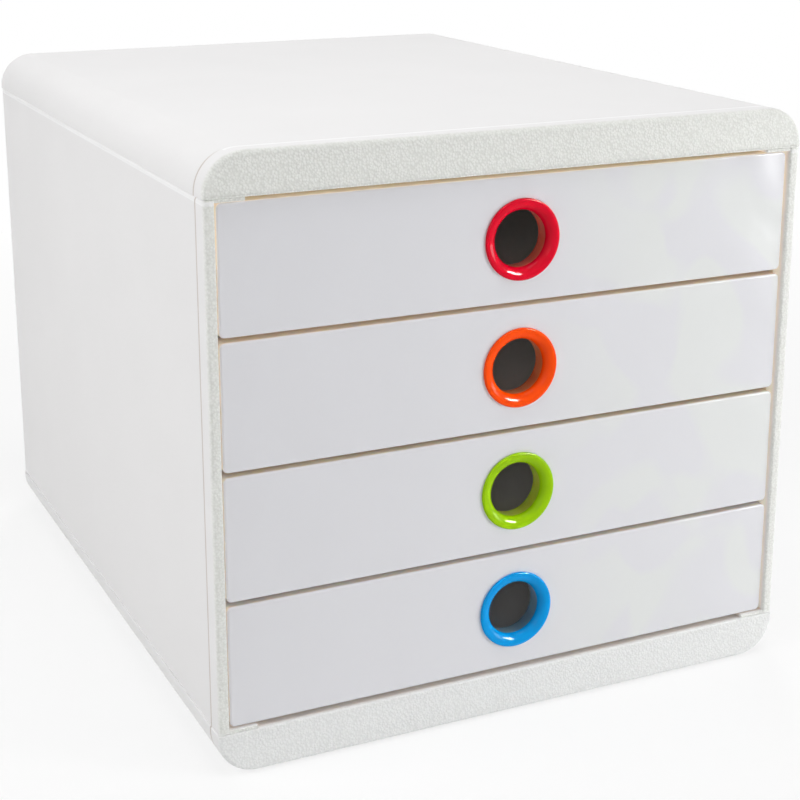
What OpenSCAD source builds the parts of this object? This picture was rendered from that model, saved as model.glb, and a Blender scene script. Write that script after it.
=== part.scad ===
// Desktop drawer cabinet in moulded plastic, with four equal drawers.
// X runs across the front, Y from front to back and Z up. The origin is on the
// floor, midway between the two sides and between the front and back faces.

/* [Casing] */
// Overall width, across the top and bottom shells
body_w = 278; // [250:1:320]
// Overall depth, from the front face to the back face
body_d = 342; // [300:1:400]
// Wall thickness of the casing mouldings
casing_wall = 2.5; // [2.2:0.1:3]
// Radius of the long rounded edges
edge_r = 17.3; // [10:0.1:18]
// Rounding where the casing turns onto its front and back faces
face_r = 2; // [1:0.1:2.1]
// Height of the top shell, from its seam to its top
top_shell_h = 18.2; // [18.1:0.1:24]
// Height of the bottom shell, from its underside to its seam
bottom_shell_h = 19; // [18.1:0.1:24]
// Width of a post beside the drawers
post_w = 5; // [4.8:0.1:8]
// Depth of a post from front to back
post_depth = 12; // [11.8:0.1:20]
// How far the shells stand out beyond the side panels
shell_step = 0.5; // [0.2:0.1:0.8]
// Rounding of a side panel's long outer edges
seam_r = 1.2; // [0.6:0.1:1.8]
// Distance of the fine groove behind the front face
groove_inset = 9.5; // [6:0.1:11]
// Width of the fine groove
groove_w = 0.6; // [0.3:0.1:1]
// Depth of the fine groove
groove_depth = 0.4; // [0.2:0.1:0.8]
// Depth of the lip that closes a shell's front and rear bands
lip_depth = 14; // [10:0.5:20]
// Thickness of that lip
lip_t = 2; // [1.5:0.1:3]
// Thickness of the stiffening ribs inside the shells
rib_t = 1.6; // [1.2:0.1:2.4]
// Height of those ribs, from the shell's inner face
rib_h = 6; // [3:0.5:10]
// Width of a side panel's turned-in flanges
flange_w = 12.5; // [8:0.5:20]
// Thickness of those flanges
flange_t = 1.5; // [1:0.1:1.6]
// How far the flanges' front ends lie behind the front face
flange_setback = 0.6; // [0.2:0.1:2]
// Height of the tongues that plug into the shells
tongue_h = 7; // [6:0.5:9]
// Thickness of the tongues
tongue_t = 2; // [1.6:0.1:3]
// Thickness of the back panel
back_t = 2.5; // [2:0.1:3]
// Distance of the back panel in front of the back face
back_inset = 2.5; // [1.5:0.1:4]
// Depth of the grooves that hold the back panel
back_slot = 2; // [1:0.1:2.2]

/* [Drawers] */
// Height from one drawer to the next
drawer_pitch = 55.5; // [45:0.5:70]
// Gap above and below each drawer front
front_gap = 1.9; // [1.8:0.1:3]
// Gap between a drawer front and the post beside it
side_gap = 1.1; // [0.8:0.1:2]
// How far the drawer fronts lie behind the casing's front face
front_setback = 2; // [1:0.1:3]
// Thickness of a drawer front's face
front_t = 3; // [2.6:0.1:4]
// Depth of a drawer front with its turned-back rim
front_depth = 9.4; // [8:0.1:10]
// Thickness of the turned-back rim
front_rim_t = 1.8; // [1.4:0.1:2.4]
// Radius of a drawer front's corners
front_corner_r = 2.3; // [1.2:0.1:4]
// Rounding of a drawer front's face edges
front_edge_r = 0.8; // [0.4:0.1:1.2]
// Wall thickness of a tray
tray_wall = 2; // [1.6:0.1:2.6]
// Height of a tray from its underside to its rim
tray_h = 42; // [30:0.5:43]
// Height of a tray's underside above its drawer front's lower edge
tray_lift = 3.5; // [3:0.5:6]
// Radius of a tray's rear corners
tray_corner_r = 5; // [3:0.5:8]
// Thickness of the rim that slides in the runner channels
rim_t = 2.5; // [1.8:0.1:3.5]
// How far a drawer's rim stays clear of the posts as it passes them
rim_gap = 0.8; // [0.5:0.1:1.2]

/* [Runners] */
// Thickness of a runner rib
runner_t = 2; // [1.5:0.1:3]
// Play of a rim above and below in its channel
runner_play = 0.3; // [0.2:0.05:0.5]
// Distance of the runners behind the front face
runner_inset = 15; // [14:0.5:20]
// Distance of the drawer stops behind the front face
stop_inset = 40; // [25:1:80]
// Length of a drawer stop, and of a lug that meets it
stop_len = 6; // [4:0.5:10]

/* [Finger rings] */
// Outer diameter of a finger ring
ring_d = 35; // [33.5:0.5:42]
// Diameter of the finger hole
hole_d = 24.6; // [20:0.2:26]
// Diameter of the seat in which a ring is pressed
seat_d = 29; // [28:0.5:31]
// How far a ring stands out from the drawer front
ring_proud = 1.2; // [0.8:0.1:1.6]
// Depth of a ring in the drawer front
ring_depth = 2.2; // [1.6:0.1:2.3]
// Rounding of a ring's outer edge
ring_edge_r = 0.8; // [0.4:0.1:0.8]
// Wall thickness of the tube behind a ring
tube_wall = 3.4; // [3:0.1:4]
// Diameter of the pegs that hold a drawer front on its tray
peg_d = 4.4; // [3:0.2:6]
// Distance of the pegs from a drawer's side
peg_inset = 30; // [15:1:60]
// Distance of the pegs above and below the finger hole's middle
peg_rise = 13.4; // [8:0.2:14]

/* [Feet] */
// Diameter of a foot
foot_d = 16; // [10:0.5:24]
// Thickness of a foot
foot_t = 2.3; // [2.2:0.1:2.5]
// How far a foot stands out of the bottom shell
foot_proud = 0.8; // [0.8:0.1:1.2]
// Distance of a foot's centre from the casing's sides
foot_inset = 28; // [24:1:60]

/* [Hidden] */
// clearance of pieces that are fixed together
fit = 0.2;
// radial clearance of a ring in its seat
ring_fit = 0.1;
// how far joined shapes run into each other
bury = 0.5;
// how far a cutter reaches past what it cuts
cut = 1;
// straight pieces in each quarter circle of an outline, and in a ring's flare
arc_steps = 6;
flare_steps = 10;
drawer_count = 4;
// stiffening ribs under each shell, from front to back and from side to side
shell_ribs_along = 3;
shell_ribs_across = 4;
// clearance between those ribs and the side panels' tongues
rib_gap = 2;
// clearance of the side panels' flanges and tongues at their ends
end_gap = 1;
// rounding of the posts' edges beside the drawers
post_edge_r = 0.5;
// snap wedges along each side of a shell: their number, length, height above
// the seam, thickness, and how far they reach into the tongues' windows
snap_count = 3;
snap_len = 12;
snap_z = 2.4;
snap_h = 2.2;
snap_reach = 1;
// how far a drawer's rear lug stands out beyond its rim, to meet the stop
lug_reach = 2;
// flat heads of the staked pegs: their thickness and their rim around the peg
peg_head_t = 0.8;
peg_head_rim = 1.3;
// height of the ribs across the back panel
back_rib_h = 1.5;
// chamfer around a foot's underside
foot_chamfer = 0.5;

front_y = -body_d / 2;
back_y = body_d / 2;
base_z = foot_proud;
low_seam = base_z + bottom_shell_h;
high_seam = low_seam + drawer_count * drawer_pitch + front_gap;

// across the casing, from the middle outwards
post_in = body_w / 2 - post_w;
skin_out = body_w / 2 - shell_step;
skin_in = skin_out - casing_wall;
shell_in = body_w / 2 - casing_wall;
tongue_out = min(shell_inner_x(top_shell_h, tongue_h), shell_inner_x(bottom_shell_h, tongue_h)) - fit;
tongue_in = tongue_out - tongue_t;

// across a drawer, from the middle outwards
front_half_w = post_in - side_gap;
tray_half_w = front_half_w - front_rim_t - fit;
rim_out = post_in - rim_gap;
lug_out = rim_out + lug_reach;
runner_in = tray_half_w + rim_gap;

// along a drawer, from front to back
face_y = front_y + front_setback;
tray_y = face_y + front_depth - tray_wall;
tray_inside_y = tray_y + tray_wall;
tray_rear_y = back_y - post_depth - bury;
back_panel_y = back_y - back_inset - back_t;

front_h = drawer_pitch - front_gap;
rim_drop = tray_lift + tray_h - rim_t;
hole_z = front_h / 2;
peg_x = front_half_w - peg_inset;
peg_head_d = peg_d + 2 * peg_head_rim;

// underside of a drawer front, counted from the top
function drawer_z(k) = high_seam - k * drawer_pitch;

// how far out a shell's hollow reaches at a height above its seam
function shell_inner_x(height, z) = z < height - edge_r
    ? shell_in
    : body_w / 2 - edge_r + sqrt(pow(edge_r - casing_wall, 2) - pow(z - height + edge_r, 2));

casing_colour = "#EDEDEB";
front_colour = "#F4F5F8";
tray_colour = "#EFEFF0";
foot_colour = "#4A4A4C";
ring_colours = ["#D8001F", "#FF4A00", "#8DBB0C", "#0A8FD0"];

// ---- shared outlines ----

// A quarter circle of points about (x, y), or the corner itself where r is 0.
function corner(x, y, r, start) = r > 0
    ? [for (i = [0:arc_steps])
        [x + r * cos(start + 90 * i / arc_steps), y + r * sin(start + 90 * i / arc_steps)]]
    : [[x, y]];

// A rectangle with rounded corners. r lists the radii at (x1, y0), (x1, y1), (x0, y1), (x0, y0).
function rounded_box(x0, y0, x1, y1, r) = concat(
    corner(x1 - r[0], y0 + r[0], r[0], 270),
    corner(x1 - r[1], y1 - r[1], r[1], 0),
    corner(x0 + r[2], y1 - r[2], r[2], 90),
    corner(x0 + r[3], y0 + r[3], r[3], 180)
);

// Points of an arc about (x, y), from angle a to angle b.
function arc(x, y, r, a, b) = [
    for (i = [0:arc_steps])
        let (turn = a + (b - a) * i / arc_steps)
        [x + r * cos(turn), y + r * sin(turn)]
];

// Extrudes an outline drawn in X and Z from y0 to y1.
module along_y(y0, y1) {
    translate([0, y1, 0]) rotate([90, 0, 0]) linear_extrude(y1 - y0) children();
}

// Extrudes an outline drawn in Y and Z from x0 to x1.
module along_x(x0, x1) {
    translate([x0, 0, 0]) rotate([90, 0, 90]) linear_extrude(x1 - x0) children();
}

// A box between two opposite corners.
module block(low, high) {
    translate(low) cube(high - low);
}

// A round bar along +Y from y0 to y1.
module bar_y(x, z, y0, y1, d) {
    translate([x, y0, z]) rotate([-90, 0, 0]) cylinder(h = y1 - y0, d = d, $fn = 64);
}

// ---- casing shells, drawn with the seam at z = 0 and the skin above it ----

// The shell's outer form, drawn in by inset on every side but the seam.
module shell_form(height, inset, below = 0) {
    r = edge_r - inset;
    axis_x = body_w / 2 - edge_r;
    axis_z = height - edge_r;
    half_w = body_w / 2 - inset;
    y0 = front_y + inset;
    y1 = back_y - inset;
    turn = max(face_r - inset, 0);
    long_edge = rounded_box(0, y0, r, y1, [turn, turn, 0, 0]);
    translate([0, 0, -below]) linear_extrude(axis_z + below)
        polygon(rounded_box(-half_w, y0, half_w, y1, [turn, turn, turn, turn]));
    translate([0, 0, axis_z]) rotate([0, -90, 0]) linear_extrude(2 * axis_x, center = true)
        polygon(long_edge);
    for (side = [0, 1]) mirror([side, 0, 0])
        translate([axis_x, 0, axis_z]) rotate([-90, 0, 0]) rotate([0, 0, -90])
            rotate_extrude(angle = 90, $fn = 96) polygon(long_edge);
}

// Stiffening ribs under the skin, clear of the side panels' tongues.
module shell_ribs(height) {
    reach_x = tongue_in - rib_gap;
    y0 = front_y + casing_wall - bury;
    y1 = back_y - casing_wall + bury;
    low = height - casing_wall - rib_h;
    high = height - casing_wall + bury;
    for (i = [1:shell_ribs_along]) {
        x = -reach_x + 2 * reach_x * i / (shell_ribs_along + 1);
        block([x - rib_t / 2, y0, low], [x + rib_t / 2, y1, high]);
    }
    for (i = [1:shell_ribs_across]) {
        y = front_y + body_d * i / (shell_ribs_across + 1);
        block([-reach_x, y - rib_t / 2, low], [reach_x, y + rib_t / 2, high]);
    }
}

// Where each snap sits along the depth.
function snap_y(i) = front_y + body_d * (i - 0.5) / snap_count;

// Wedges inside the shell's long walls that catch in the tongues.
module shell_snaps() {
    for (side = [0, 1]) mirror([side, 0, 0])
        for (i = [1:snap_count])
            along_y(snap_y(i) - snap_len / 2, snap_y(i) + snap_len / 2)
                polygon([
                    [shell_in + bury, snap_z],
                    [shell_in, snap_z],
                    [tongue_out - snap_reach, snap_z + snap_h],
                    [shell_in + bury, snap_z + snap_h]
                ]);
}

// The fine groove that runs over the shell behind its front band.
module shell_groove(height) {
    intersection() {
        block(
            [-body_w, front_y + groove_inset, -cut],
            [body_w, front_y + groove_inset + groove_w, height + cut]
        );
        difference() {
            shell_form(height, -cut, 2 * cut);
            shell_form(height, groove_depth, 3 * cut);
        }
    }
}

// Lips that turn inwards along the lower edges of the front and rear bands.
module shell_lips() {
    half_w = body_w / 2 - casing_wall / 2;
    for (turn = [0, 1]) mirror([0, turn, 0])
        block([-half_w, front_y + casing_wall / 2, 0], [half_w, front_y + lip_depth, lip_t]);
}

module shell(height) {
    difference() {
        union() {
            difference() {
                shell_form(height, 0);
                shell_form(height, casing_wall, cut);
            }
            shell_lips();
            intersection() {
                shell_ribs(height);
                shell_form(height, casing_wall / 2);
            }
            shell_snaps();
        }
        shell_groove(height);
    }
}

module top_shell() {
    color(casing_colour) translate([0, 0, high_seam]) shell(top_shell_h);
}

module bottom_shell() {
    color(casing_colour) difference() {
        translate([0, 0, low_seam]) mirror([0, 0, 1]) shell(bottom_shell_h);
        for (x = [-1, 1], y = [-1, 1])
            foot_place(x, y) cylinder(h = foot_t, d = foot_d + 2 * fit, $fn = 64);
    }
}

// ---- side panels, drawn for the right-hand side ----

// Wall and posts, with the outer edges rounded.
module panel_skin() {
    difference() {
        intersection() {
            along_y(front_y, back_y)
                polygon(rounded_box(post_in, low_seam, skin_out, high_seam, [seam_r, seam_r, 0, 0]));
            translate([0, 0, low_seam - cut]) linear_extrude(high_seam - low_seam + 2 * cut)
                polygon(rounded_box(
                    post_in, front_y, skin_out, back_y,
                    [face_r, face_r, post_edge_r, post_edge_r]
                ));
        }
        block(
            [post_in - cut, front_y + post_depth, low_seam - cut],
            [skin_in, back_y - post_depth, high_seam + cut]
        );
    }
}

// Turned-in flange and tongue at one seam. up is 1 at the top and -1 at the bottom.
module panel_edge(seam, up) {
    translate([0, 0, seam]) mirror([0, 0, up > 0 ? 0 : 1]) {
        block(
            [post_in - flange_w, front_y + flange_setback, -flange_t],
            [skin_in + bury, back_panel_y - end_gap, 0]
        );
        difference() {
            block(
                [tongue_in, front_y + lip_depth + end_gap, -flange_t],
                [tongue_out, back_y - lip_depth - end_gap, tongue_h]
            );
            for (i = [1:snap_count])
                block(
                    [tongue_in - cut, snap_y(i) - snap_len / 2 - 2 * fit, snap_z - 2 * fit],
                    [tongue_out + cut, snap_y(i) + snap_len / 2 + 2 * fit, snap_z + snap_h + 2 * fit]
                );
        }
    }
}

// One drawer's channel: a rib under the rim, a rib over it and a stop between them.
module runner(k) {
    rim_z = drawer_z(k) + rim_drop;
    low = rim_z - runner_play;
    high = rim_z + rim_t + runner_play;
    y0 = front_y + runner_inset;
    y1 = back_y - post_depth + bury;
    block([runner_in, y0, low - runner_t], [skin_in + bury, y1, low]);
    block([runner_in, y0, high], [skin_in + bury, y1, high + runner_t]);
    block(
        [rim_out + runner_play, front_y + stop_inset, low - bury],
        [skin_in + bury, front_y + stop_inset + stop_len, high + bury]
    );
}

module side_panel() {
    difference() {
        union() {
            panel_skin();
            panel_edge(high_seam, 1);
            panel_edge(low_seam, -1);
            for (k = [1:drawer_count]) runner(k);
        }
        block(
            [skin_out - groove_depth, front_y + groove_inset, low_seam - cut],
            [skin_out + cut, front_y + groove_inset + groove_w, high_seam + cut]
        );
        block(
            [post_in - cut, back_panel_y - fit, low_seam - cut],
            [post_in + back_slot, back_panel_y + back_t + fit, high_seam + cut]
        );
    }
}

module right_side_panel() {
    color(casing_colour) side_panel();
}

module left_side_panel() {
    color(casing_colour) mirror([1, 0, 0]) side_panel();
}

// ---- back panel and feet ----

module back_panel() {
    half_w = post_in + back_slot - fit;
    rib_half_w = post_in - flange_w;
    color(casing_colour) {
        block([-half_w, back_panel_y, low_seam + fit], [half_w, back_panel_y + back_t, high_seam - fit]);
        for (k = [1:drawer_count - 1]) {
            z = drawer_z(k) - front_gap / 2;
            block(
                [-rib_half_w, back_panel_y - back_rib_h, z - rib_t / 2],
                [rib_half_w, back_panel_y + bury, z + rib_t / 2]
            );
        }
    }
}

module foot_place(x, y) {
    translate([x * (body_w / 2 - foot_inset), y * (body_d / 2 - foot_inset), 0]) children();
}

module foot(x, y) {
    color(foot_colour) foot_place(x, y) {
        translate([0, 0, foot_chamfer]) cylinder(h = foot_t - foot_chamfer, d = foot_d, $fn = 64);
        cylinder(h = foot_chamfer, d1 = foot_d - 2 * foot_chamfer, d2 = foot_d, $fn = 64);
    }
}

// ---- drawers, each drawn with its front's lower edge at z = 0 ----

// Tray walls and floor, open at the top.
module tray_box() {
    inner_r = tray_corner_r - tray_wall;
    translate([0, 0, tray_lift]) difference() {
        linear_extrude(tray_h)
            polygon(rounded_box(
                -tray_half_w, tray_y, tray_half_w, tray_rear_y,
                [0, tray_corner_r, tray_corner_r, 0]
            ));
        translate([0, 0, tray_wall]) linear_extrude(tray_h)
            polygon(rounded_box(
                -tray_half_w + tray_wall, tray_inside_y,
                tray_half_w - tray_wall, tray_rear_y - tray_wall,
                [0, inner_r, inner_r, 0]
            ));
    }
}

// Rim along both sides, which slides in the runner channels, with a lug at its rear end.
module tray_rims() {
    y0 = front_y + runner_inset;
    y1 = tray_rear_y - tray_corner_r;
    top = rim_drop + rim_t;
    for (side = [0, 1]) mirror([side, 0, 0]) {
        block([tray_half_w - tray_wall / 2, y0, rim_drop], [rim_out, y1, top]);
        block([tray_half_w - tray_wall, y1 - stop_len, rim_drop], [lug_out, y1, top]);
    }
}

// Upright wall that closes the back of the drawer front, nested in its rim.
module tray_front_wall() {
    inset = front_rim_t + fit;
    block([-tray_half_w, tray_y, inset], [tray_half_w, tray_inside_y, front_h - inset]);
}

module drawer_tray(k) {
    color(tray_colour) translate([0, 0, drawer_z(k)]) difference() {
        union() {
            tray_box();
            tray_rims();
            tray_front_wall();
        }
        bar_y(0, hole_z, tray_y - cut, tray_inside_y + cut, hole_d + 2 * (tube_wall + fit));
        for (x = [-1, 1], z = [-1, 1])
            bar_y(x * peg_x, hole_z + z * peg_rise, tray_y - cut, tray_inside_y + cut, peg_d + 2 * fit);
    }
}

// Face plate with its rim turned back, all its front edges rounded.
module front_cover() {
    y1 = face_y + front_depth;
    difference() {
        intersection() {
            along_y(face_y, y1)
                polygon(rounded_box(
                    -front_half_w, 0, front_half_w, front_h,
                    [front_corner_r, front_corner_r, front_corner_r, front_corner_r]
                ));
            translate([0, 0, -cut]) linear_extrude(front_h + 2 * cut)
                polygon(rounded_box(
                    -front_half_w, face_y, front_half_w, y1,
                    [front_edge_r, 0, 0, front_edge_r]
                ));
            along_x(-front_half_w - cut, front_half_w + cut)
                polygon(rounded_box(face_y, 0, y1, front_h, [0, 0, front_edge_r, front_edge_r]));
        }
        block(
            [-front_half_w + front_rim_t, face_y + front_t, front_rim_t],
            [front_half_w - front_rim_t, y1 + cut, front_h - front_rim_t]
        );
    }
}

module drawer_front(k) {
    color(front_colour) translate([0, 0, drawer_z(k)]) difference() {
        union() {
            front_cover();
            bar_y(0, hole_z, face_y + front_t - bury, tray_inside_y, hole_d + 2 * tube_wall);
            for (x = [-1, 1], z = [-1, 1]) {
                z1 = hole_z + z * peg_rise;
                bar_y(x * peg_x, z1, face_y + front_t - bury, tray_inside_y + peg_head_t, peg_d);
                bar_y(x * peg_x, z1, tray_inside_y, tray_inside_y + peg_head_t, peg_head_d);
            }
        }
        bar_y(0, hole_z, face_y - cut, tray_inside_y + cut, hole_d);
        bar_y(0, hole_z, face_y - cut, face_y + ring_depth + ring_fit, seat_d);
    }
}

// ---- finger rings ----

// Half section of a ring: radius along X, depth behind the drawer front along Y.
// Its face turns from the rounded outer edge into the throat in a quarter ellipse.
function ring_section() =
    let (
        hub_r = seat_d / 2 - ring_fit,
        throat_r = hole_d / 2 - ring_fit,
        edge_x = ring_d / 2 - ring_edge_r,
        flare_w = edge_x - throat_r,
        flare_depth = ring_proud + ring_depth
    )
    concat(
        [[hub_r, ring_depth], [hub_r, 0], [ring_d / 2, 0]],
        arc(edge_x, ring_edge_r - ring_proud, ring_edge_r, 0, -90),
        [for (i = [1:flare_steps])
            let (turn = 90 * i / flare_steps)
            [edge_x - flare_w * sin(turn), flare_depth * (1 - cos(turn)) - ring_proud]]
    );

module finger_ring(k) {
    color(ring_colours[k - 1]) translate([0, face_y, drawer_z(k) + hole_z])
        rotate([-90, 0, 0]) rotate_extrude($fn = 96) polygon(ring_section());
}

top_shell();
bottom_shell();
left_side_panel();
right_side_panel();
back_panel();
foot(-1, -1);  // foot_front_left
foot(1, -1);  // foot_front_right
foot(-1, 1);  // foot_rear_left
foot(1, 1);  // foot_rear_right
for (k = [1:drawer_count]) {
    drawer_tray(k);
    drawer_front(k);
    finger_ring(k);
}
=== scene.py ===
import math

import bmesh
import bpy
from mathutils import Matrix, Vector


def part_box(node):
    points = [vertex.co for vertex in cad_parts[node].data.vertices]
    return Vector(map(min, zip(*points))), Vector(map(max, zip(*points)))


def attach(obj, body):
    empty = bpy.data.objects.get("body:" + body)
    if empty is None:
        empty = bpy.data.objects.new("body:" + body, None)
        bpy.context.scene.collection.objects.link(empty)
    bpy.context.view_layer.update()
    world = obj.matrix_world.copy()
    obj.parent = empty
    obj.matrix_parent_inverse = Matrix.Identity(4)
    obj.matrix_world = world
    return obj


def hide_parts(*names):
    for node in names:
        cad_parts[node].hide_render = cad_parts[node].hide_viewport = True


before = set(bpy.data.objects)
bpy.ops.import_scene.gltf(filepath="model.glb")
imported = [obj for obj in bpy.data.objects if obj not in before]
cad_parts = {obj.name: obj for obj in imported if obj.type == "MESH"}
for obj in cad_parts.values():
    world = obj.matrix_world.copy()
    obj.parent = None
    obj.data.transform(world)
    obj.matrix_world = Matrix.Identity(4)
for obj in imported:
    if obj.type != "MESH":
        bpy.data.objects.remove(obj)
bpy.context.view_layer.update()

# ---- Top and bottom shells ----
# Each shell of the casing is one injection moulding in white polystyrene with long rounded edges. A fine
# groove parts its leather-grained front band from the satin skin, lips turn in behind both bands, and ribs
# stiffen it inside.

mm = 0.001
shell_low, shell_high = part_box("top_shell")
half_w, front_y, back_y = shell_high.x, shell_low.y, shell_high.y
high_seam, low_seam = shell_low.z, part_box("bottom_shell")[1].z
casing_wall = 2.5 * mm
edge_r = 17.3 * mm
face_r = 2.0 * mm
shell_rim_r = 0.8 * mm
seam_edge_r = 0.4 * mm
groove_inset = 9.5 * mm
groove_w = 1.3 * mm
groove_depth = 0.4 * mm
groove_slope = 0.7 * mm
lip_depth = 14 * mm
lip_t = 2 * mm
rib_t = 1.6 * mm
rib_h = 6 * mm
rib_reach_x = 128.5 * mm
ribs_along = 3
ribs_across = 4
# edges that turn by less than this are shaded smooth
sharp_angle = math.radians(38)
# steps in a full circle
round_steps = 96
# how far cutters reach past what they cut, and joined solids into each other
overshoot = 1 * mm
bury = 0.5 * mm
# keeps flat faces of joined solids from lying in one plane
skim = 0.05 * mm


def rounded(x0, y0, x1, y1, radii, steps=6):
    """Outline of a rectangle, anticlockwise. radii go round from the corner at x1, y0."""
    corners = [(x1, y0, -1, 1, 270), (x1, y1, -1, -1, 0), (x0, y1, 1, -1, 90), (x0, y0, 1, 1, 180)]
    outline = []
    for (x, y, side, rise, start), r in zip(corners, radii):
        for i in range(steps + 1):
            angle = math.radians(start + 90 * i / steps)
            outline.append((x + side * r + r * math.cos(angle), y + rise * r + r * math.sin(angle)))
    return outline


def cut_in(radius, depth):
    """How far a rounded edge is cut in, at a depth behind the face that it turns onto."""
    return radius - math.sqrt(radius ** 2 - (radius - depth) ** 2) if depth < radius else 0.0


def edge_depths(radius, steps=6):
    """Depths behind a face at which a rounded edge gets its rings."""
    return [radius * (1 - math.cos(math.radians(90 * i / steps))) for i in range(steps + 1)]


def loft(rings):
    """A closed solid through rings of equally many points, capped at both ends."""
    solid = bmesh.new()
    loops = [[solid.verts.new(point) for point in ring] for ring in rings]
    for near, far in zip(loops, loops[1:]):
        for i in range(len(near)):
            solid.faces.new((near[i - 1], near[i], far[i], far[i - 1]))
    solid.faces.new(loops[0])
    solid.faces.new(loops[-1])
    bmesh.ops.recalc_face_normals(solid, faces=solid.faces)
    return solid


def block(low, high, edge=0.0):
    """A box between two corners, with its edges rounded."""
    solid = bmesh.new()
    bmesh.ops.create_cube(solid, size=1)
    for vert in solid.verts:
        vert.co = [low[i] if vert.co[i] < 0 else high[i] for i in range(3)]
    if edge:
        bmesh.ops.bevel(solid, geom=solid.edges[:], offset=edge, segments=3, profile=0.5, affect="EDGES")
    return solid


def bar(x, z, y0, y1, radius, segments=round_steps):
    """A round bar along Y."""
    circle = [math.tau * i / segments for i in range(segments)]
    return loft([[(x + radius * math.cos(a), y, z + radius * math.sin(a)) for a in circle]
                 for y in (y0, y1)])


def put(name, solid):
    """Makes an object of a solid."""
    mesh = bpy.data.meshes.new(name)
    solid.to_mesh(mesh)
    solid.free()
    piece = bpy.data.objects.new(name, mesh)
    bpy.context.scene.collection.objects.link(piece)
    return piece


def bake(piece):
    """Keeps what a piece's modifiers make as its plain mesh."""
    graph = bpy.context.evaluated_depsgraph_get()
    mesh = bpy.data.meshes.new_from_object(piece.evaluated_get(graph))
    piece.modifiers.clear()
    piece.data = mesh
    return piece


def combine(piece, operation, tool):
    """Joins a solid or an object to a piece, or cuts it out, and uses it up."""
    if not isinstance(tool, bpy.types.Object):
        tool = put("tool", tool)
    modifier = piece.modifiers.new("combine", "BOOLEAN")
    modifier.operation = operation
    modifier.solver = "EXACT"
    modifier.object = tool
    bake(piece)
    bpy.data.objects.remove(tool)
    return piece


def dress(piece, material):
    """Gives a piece its material and smooth shading that keeps its flat faces flat."""
    piece.data.materials.clear()
    piece.data.materials.append(material)
    for face in piece.data.polygons:
        face.material_index = 0
        face.use_smooth = True
    piece.data.set_sharp_from_angle(angle=sharp_angle)
    piece.modifiers.new("even_shading", "WEIGHTED_NORMAL").keep_sharp = True
    return piece


def add(tree, kind, inputs=None, **settings):
    """Adds a node with its settings. Each input is a value or another node's output."""
    node = tree.nodes.new(kind)
    for name, value in settings.items():
        setattr(node, name, value)
    for name, value in (inputs or {}).items():
        if isinstance(value, bpy.types.NodeSocket):
            tree.links.new(value, node.inputs[name])
        else:
            node.inputs[name].default_value = value
    return node


def linear(code):
    """An sRGB hex colour as linear RGBA."""
    parts = [int(code[i:i + 2], 16) / 255 for i in (1, 3, 5)]
    return [p / 12.92 if p <= 0.04045 else ((p + 0.055) / 1.055) ** 2.4 for p in parts] + [1.0]


def row_tree():
    """Geometry Nodes: copies of a moulded detail, in a straight row."""
    tree = bpy.data.node_groups.new("row", "GeometryNodeTree")
    for name, kind in (("Detail", "Geometry"), ("Count", "Int"), ("Step", "Vector"),
                       ("Material", "Material")):
        tree.interface.new_socket(name, in_out="INPUT", socket_type="NodeSocket" + kind)
    tree.interface.new_socket("Row", in_out="OUTPUT", socket_type="NodeSocketGeometry")
    given = add(tree, "NodeGroupInput").outputs
    line = add(tree, "GeometryNodeMeshLine", {"Count": given["Count"], "Offset": given["Step"]})
    copies = add(tree, "GeometryNodeInstanceOnPoints",
                 {"Points": line.outputs["Mesh"], "Instance": given["Detail"]})
    real = add(tree, "GeometryNodeRealizeInstances", {"Geometry": copies.outputs["Instances"]})
    dressed = add(tree, "GeometryNodeSetMaterial",
                  {"Geometry": real.outputs["Geometry"], "Material": given["Material"]})
    add(tree, "NodeGroupOutput", {"Row": dressed.outputs["Geometry"]})
    return tree


def grow(piece, tree, **values):
    """Runs a node tree on a piece, with its inputs set by name, and keeps a plain mesh."""
    modifier = piece.modifiers.new(tree.name, "NODES")
    modifier.node_group = tree
    for item in tree.interface.items_tree:
        if item.in_out == "INPUT" and item.name in values:
            modifier[item.identifier] = values[item.name]
    return bake(piece)


# White high-impact polystyrene. The faces of its bands and posts have an etched leather grain that breaks
# the light up, and the rest of its skin is satin, which gives wide soft highlights. The grain's cells are
# drawn coarser than the real ones, so that they show.
leather_grain = 1.05 * mm
leather_height = 0.17 * mm
grain_full, grain_end = front_y + 0.6 * mm, front_y + 2.2 * mm
satin_grain = 2.4 * mm
satin_height = 0.12 * mm
cloud_size = 60 * mm
casing_plastic = bpy.data.materials.new("moulded_white_polystyrene")
casing_plastic.use_nodes = True
tree = casing_plastic.node_tree
place = add(tree, "ShaderNodeTexCoord").outputs["Object"]
axes = add(tree, "ShaderNodeSeparateXYZ", {"Vector": place}).outputs
half_x = add(tree, "ShaderNodeMath", {0: axes["X"]}, operation="ABSOLUTE").outputs[0]
in_band = add(tree, "ShaderNodeMapRange", {
    "Value": axes["Y"], "From Min": grain_end, "From Max": grain_full}).outputs["Result"]
cells = add(tree, "ShaderNodeTexVoronoi", {"Vector": place, "Scale": 1 / leather_grain, "Randomness": 0.85})
raised = add(tree, "ShaderNodeMapRange", {
    "Value": cells.outputs["Distance"], "From Min": 0.75, "From Max": 0.15}).outputs["Result"]
satin = add(tree, "ShaderNodeTexNoise", {
    "Vector": place, "Scale": 1 / satin_grain, "Detail": 4.0, "Roughness": 0.6})
leather = add(tree, "ShaderNodeBump", {"Strength": in_band, "Distance": leather_height, "Height": raised})
skin = add(tree, "ShaderNodeBump", {
    "Strength": 0.5, "Distance": satin_height, "Height": satin.outputs["Fac"],
    "Normal": leather.outputs["Normal"]})
cloud = add(tree, "ShaderNodeTexNoise", {"Vector": place, "Scale": 1 / cloud_size, "Detail": 2.0})
satin_white = add(tree, "ShaderNodeMix", {
    "Factor": cloud.outputs["Fac"], "A": linear("#F2F1F1"), "B": linear("#EEEDED")}, data_type="RGBA")
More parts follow.
